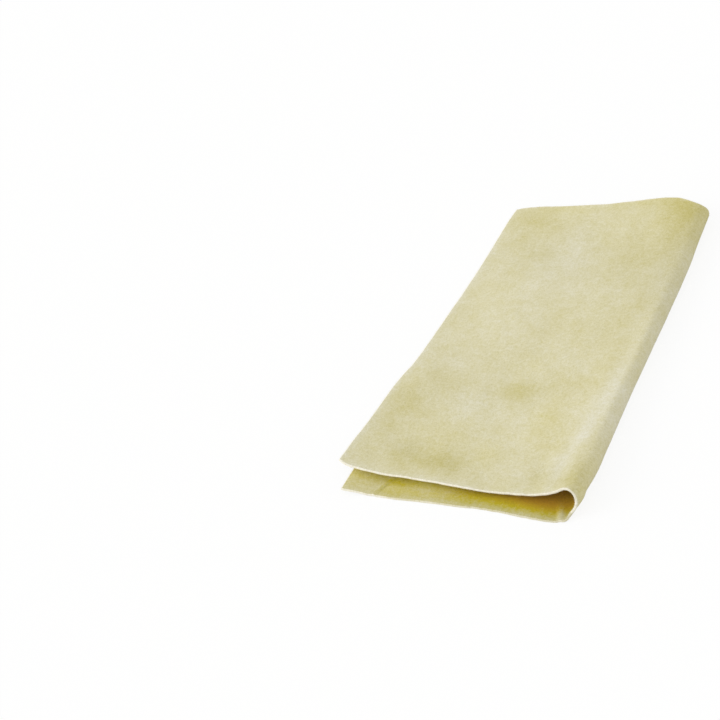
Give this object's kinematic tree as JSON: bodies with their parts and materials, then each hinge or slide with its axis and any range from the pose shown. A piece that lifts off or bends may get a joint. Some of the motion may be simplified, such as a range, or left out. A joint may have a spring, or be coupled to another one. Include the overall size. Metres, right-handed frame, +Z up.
{
  "type": "folded chamois leather",
  "caption": "A chamois leather for drying and polishing, folded once in half on a round loose bend, with soft wavy leaves and fuzzy cut edges.",
  "frame": {"origin": "middle of the footprint on the table, at the height of the table", "axes": "+Z up, +Y along the fold away from the near cut edges, +X towards the fold, the open side is at -X"},
  "size_m": [0.179, 0.309, 0.0204],
  "materials": {
    "chamois": "soft matt oil-tanned suede, both faces napped"
  },
  "bodies": {
    "lower_leaf": {"lower_leaf": "chamois"},
    "fold_strip_1": {"fold_strip_1": "chamois"},
    "fold_strip_2": {"fold_strip_2": "chamois"},
    "fold_strip_3": {"fold_strip_3": "chamois"},
    "fold_strip_4": {"fold_strip_4": "chamois"},
    "fold_strip_5": {"fold_strip_5": "chamois"},
    "fold_strip_6": {"fold_strip_6": "chamois"},
    "fold_shoulder": {"fold_shoulder": "chamois"},
    "upper_leaf": {"upper_leaf": "chamois"}
  },
  "joints": [
    {"name": "fold_bend_1", "type": "hinge", "parent": "lower_leaf", "child": "fold_strip_1", "pos_m": [0.08176, 0, 0.0003], "axis": [0, 1, 0], "range_deg": [0, 27.86]},
    {"name": "fold_bend_2", "type": "hinge", "parent": "fold_strip_1", "child": "fold_strip_2", "pos_m": [0.0861, 0, 0.00259], "axis": [0, 1, 0], "range_deg": [0, 27.86]},
    {"name": "fold_bend_3", "type": "hinge", "parent": "fold_strip_2", "child": "fold_strip_3", "pos_m": [0.08886, 0, 0.00665], "axis": [0, 1, 0], "range_deg": [0, 27.86]},
    {"name": "fold_bend_4", "type": "hinge", "parent": "fold_strip_3", "child": "fold_strip_4", "pos_m": [0.08941, 0, 0.01153], "axis": [0, 1, 0], "range_deg": [0, 27.86]},
    {"name": "fold_bend_5", "type": "hinge", "parent": "fold_strip_4", "child": "fold_strip_5", "pos_m": [0.08762, 0, 0.0161], "axis": [0, 1, 0], "range_deg": [0, 27.86]},
    {"name": "fold_bend_6", "type": "hinge", "parent": "fold_strip_5", "child": "fold_strip_6", "pos_m": [0.0839, 0, 0.01931], "axis": [0, 1, 0], "range_deg": [0, 27.86]},
    {"name": "fold_bend_7", "type": "hinge", "parent": "fold_strip_6", "child": "fold_shoulder", "pos_m": [0.07911, 0, 0.0204], "axis": [0, 1, 0], "range_deg": [0, 27.86]},
    {"name": "shoulder_foot_bend", "type": "hinge", "parent": "fold_shoulder", "child": "upper_leaf", "pos_m": [0.06142, 0, 0.01431], "axis": [0, 1, 0], "range_deg": [-15, 0]}
  ],
  "couplings": [
    {"joint": "fold_bend_2", "follows": "fold_bend_1", "ratio": 1},
    {"joint": "fold_bend_3", "follows": "fold_bend_1", "ratio": 1},
    {"joint": "fold_bend_4", "follows": "fold_bend_1", "ratio": 1},
    {"joint": "fold_bend_5", "follows": "fold_bend_1", "ratio": 1},
    {"joint": "fold_bend_6", "follows": "fold_bend_1", "ratio": 1},
    {"joint": "fold_bend_7", "follows": "fold_bend_1", "ratio": 1},
    {"joint": "shoulder_foot_bend", "follows": "fold_bend_1", "ratio": -0.53846}
  ]
}
